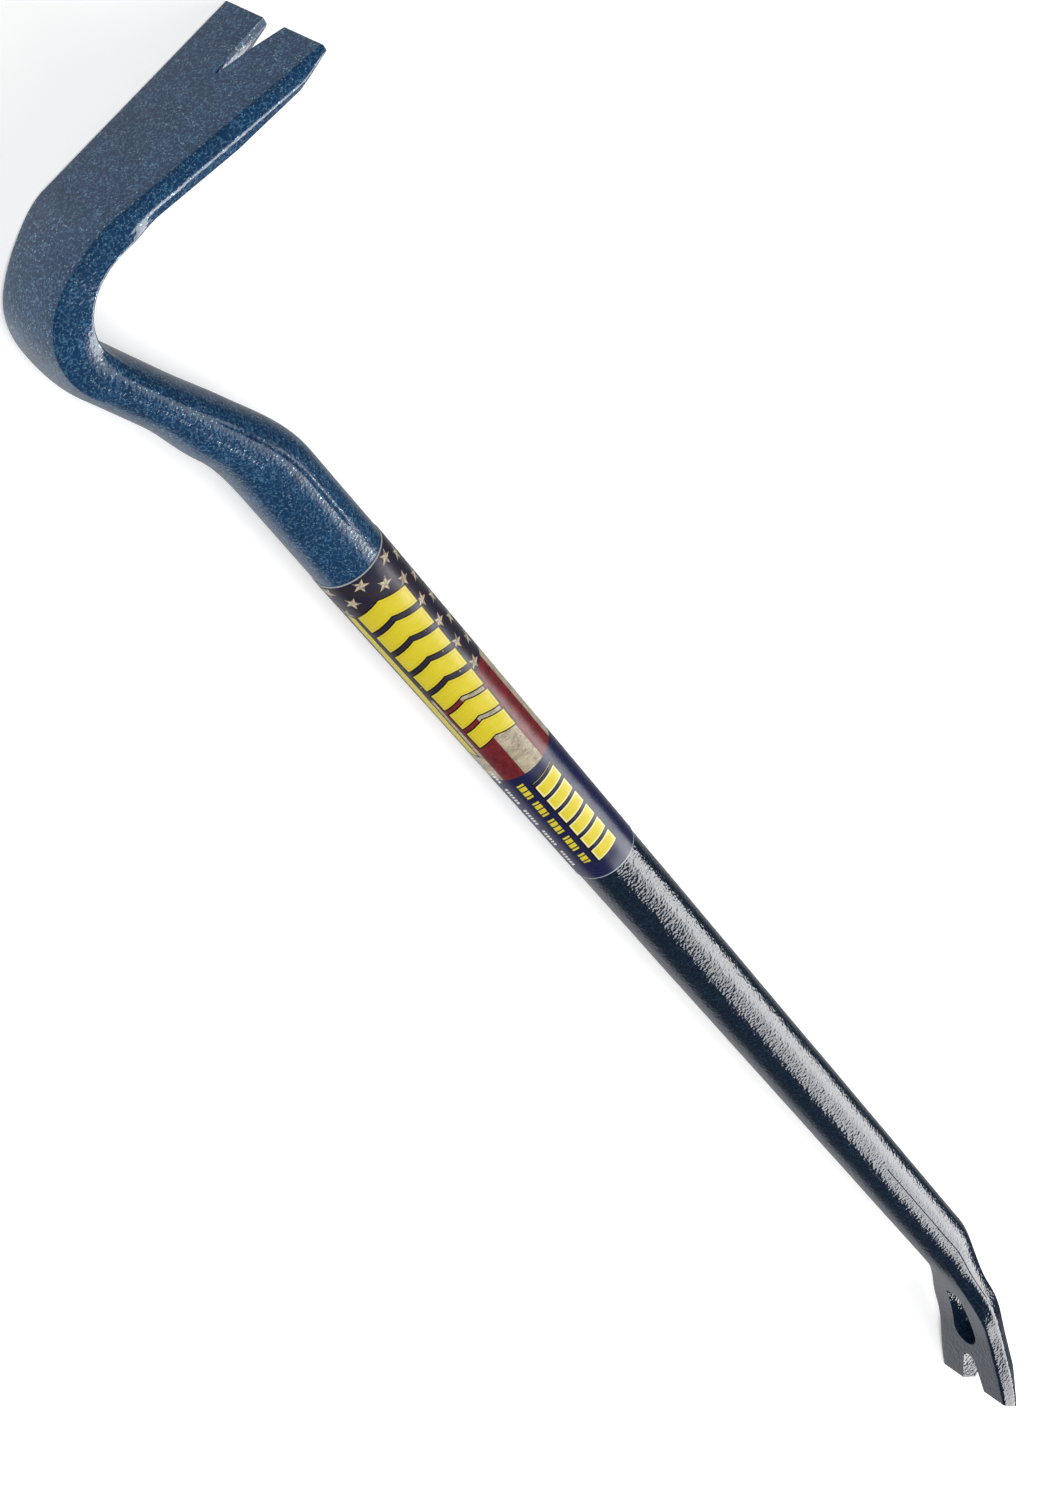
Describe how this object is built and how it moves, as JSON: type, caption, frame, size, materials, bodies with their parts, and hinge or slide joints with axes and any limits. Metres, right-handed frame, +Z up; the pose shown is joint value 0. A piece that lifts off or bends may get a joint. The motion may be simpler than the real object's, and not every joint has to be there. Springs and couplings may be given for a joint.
{
  "type": "wrecking bar",
  "caption": "One-piece forged gooseneck pry bar with a notched claw, a round tapering shaft, an angled slotted chisel end and a film sleeve round the shaft",
  "frame": {"origin": "centre of the bounding box's underside, on the surface the bar rests on", "axes": "+X runs along the shaft from the gooseneck to the chisel end, +Y is the side the hook opens to, +Z is up from the side of the claw that the bar rests on"},
  "size_m": [0.4566, 0.0806, 0.0341],
  "materials": {
    "enamelled_steel": "deep blue hammer-tone enamel baked on forged steel, glossy, with a fine pebbled skin",
    "printed_film": "glossy printed plastic film, near black with cream, dark red and yellow shapes"
  },
  "bodies": {
    "root": {"forged_bar": "enamelled_steel", "label_wrap": "printed_film"}
  },
  "joints": []
}
